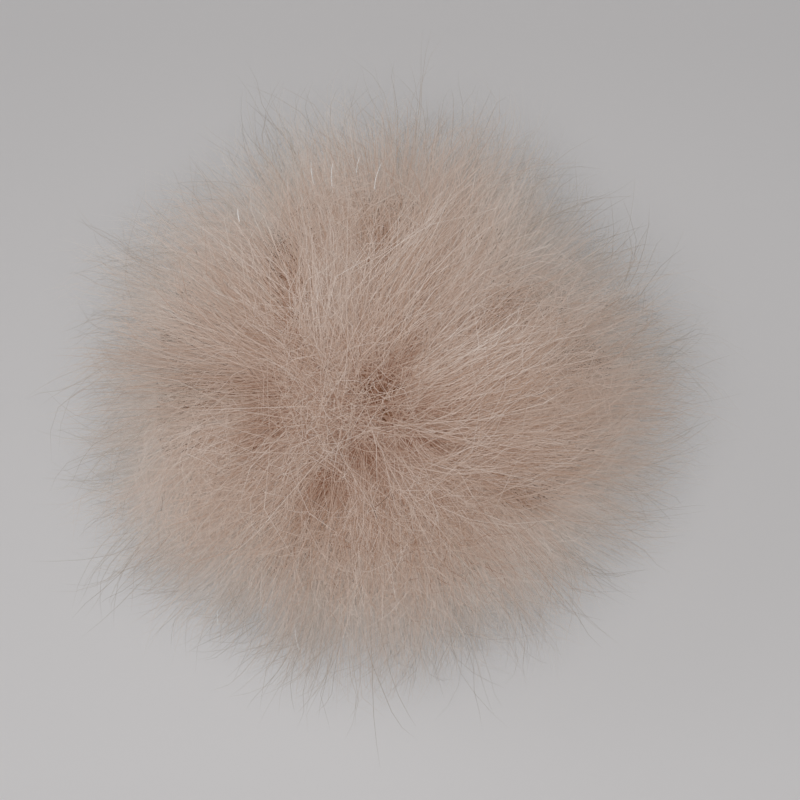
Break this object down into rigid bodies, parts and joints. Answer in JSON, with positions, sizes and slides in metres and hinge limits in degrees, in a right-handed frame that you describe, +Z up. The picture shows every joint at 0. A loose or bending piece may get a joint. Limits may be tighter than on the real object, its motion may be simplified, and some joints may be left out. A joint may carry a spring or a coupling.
{
  "type": "pom pom",
  "caption": "Fluffy long-pile faux fur pom pom: an uneven ball of soft locks that stand out all round and part at the crown, its pile pressed flat underneath where it lies on a surface.",
  "frame": {"origin": "on the surface that the pom pom lies on, under the middle of its pile", "axes": "+Z up; +X to the right and +Y away from the viewer, as the pom pom is seen from above, with its widest side along X"},
  "size_m": [0.1522, 0.1402, 0.1076],
  "materials": {
    "pile": "dusty pinkish beige long acrylic pile, warm brown at the roots and greyer at the tips, dull with a faint sheen"
  },
  "bodies": {
    "root": {"pom_pom": "pile"}
  },
  "joints": []
}
